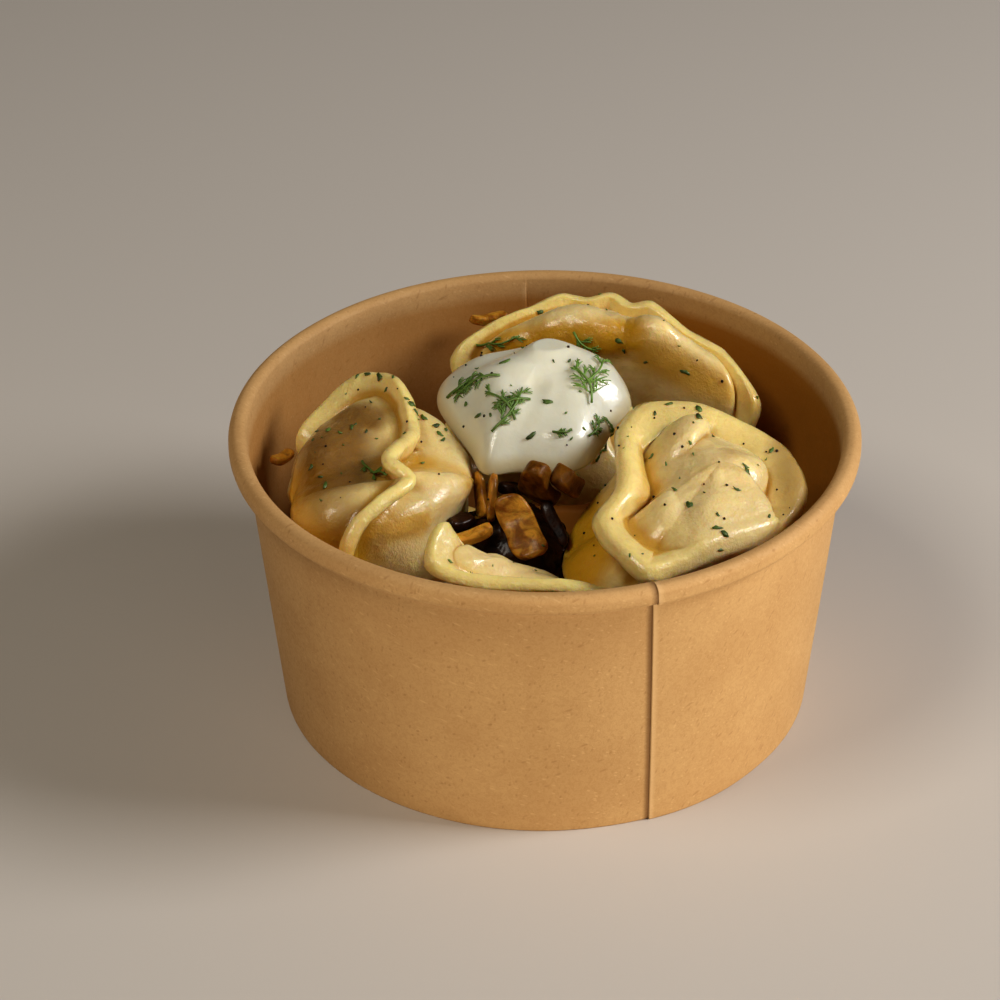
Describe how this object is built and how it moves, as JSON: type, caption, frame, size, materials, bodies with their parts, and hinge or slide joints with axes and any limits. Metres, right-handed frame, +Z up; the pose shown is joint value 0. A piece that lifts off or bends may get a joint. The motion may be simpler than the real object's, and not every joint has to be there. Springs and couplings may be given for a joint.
{
  "type": "bowl of boiled dumplings",
  "caption": "Round brown paper bowl filled with boiled half-moon dumplings, topped with soured cream, dill, fried mushrooms and onions.",
  "frame": {"origin": "centre of the bowl's foot, on the surface it stands on", "axes": "+Z up, -Y towards the side that the picture shows in front"},
  "size_m": [0.15, 0.1496, 0.0826],
  "materials": {
    "kraft_paper": "uncoated brown paperboard, matt",
    "dough": "moist boiled dough, soft sheen",
    "soured_cream": "smooth and moist",
    "onion": "fried, oily",
    "mushroom": "fried, moist",
    "dark_mushroom": "dark, oily"
  },
  "bodies": {
    "root": {"bowl": "kraft_paper", "dumpling_left": "dough", "dumpling_right": "dough", "dumpling_front": "dough", "dumpling_back": "dough", "dumpling_middle": "dough", "dumpling_low_left": "dough", "dumpling_low_right": "dough", "dumpling_low_front": "dough", "soured_cream": "soured_cream", "mushroom_heap": "dark_mushroom", "mushroom_wedge": "mushroom", "mushroom_block": "mushroom", "mushroom_strip": "dark_mushroom", "mushroom_bit": "dark_mushroom", "mushroom_chip": "dark_mushroom", "onion_slice": "onion", "onion_sliver": "onion", "onion_leaf": "onion", "onion_stub": "onion", "crisp_onion_left": "onion", "crisp_onion_back": "onion"}
  },
  "joints": []
}
